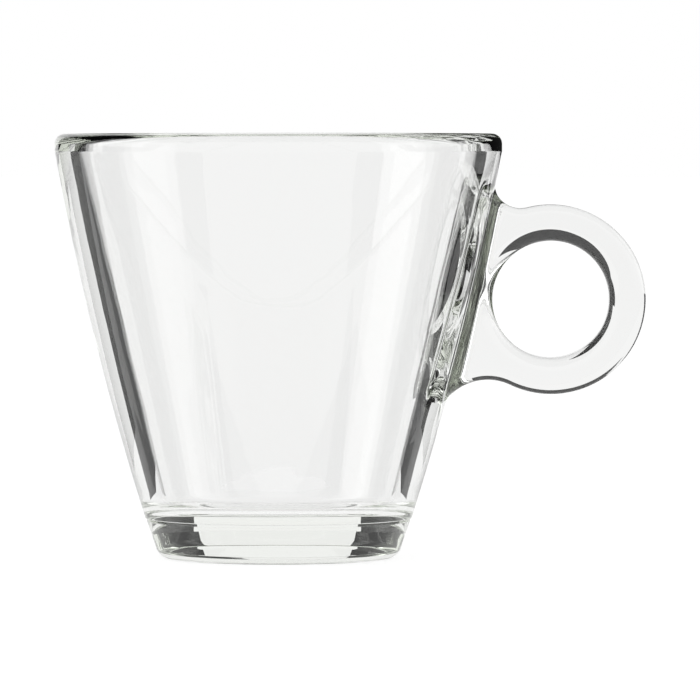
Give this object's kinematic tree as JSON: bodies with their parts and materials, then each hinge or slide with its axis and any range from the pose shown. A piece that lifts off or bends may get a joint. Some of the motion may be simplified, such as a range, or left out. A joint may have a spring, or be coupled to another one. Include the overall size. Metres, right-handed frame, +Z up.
{
  "type": "cortado glass",
  "caption": "Clear pressed-glass cortado cup: a bowed conical bowl on a thick solid foot, with a rounded rim band and a flat ring handle flared into the wall.",
  "frame": {"origin": "centre of the standing ring under the foot, on the table plane and on the cup's axis", "axes": "+Z up along the cup's axis, +X from the axis to the ring handle, +Y away from the viewer who sees the handle on the right"},
  "size_m": [0.0924, 0.07, 0.0665],
  "materials": {
    "clear_glass": "clear tempered soda-lime glass, fire-polished, faint olive tint in thick places"
  },
  "bodies": {
    "root": {"rim_lip": "clear_glass", "bowl": "clear_glass", "foot": "clear_glass", "handle": "clear_glass"}
  },
  "joints": []
}
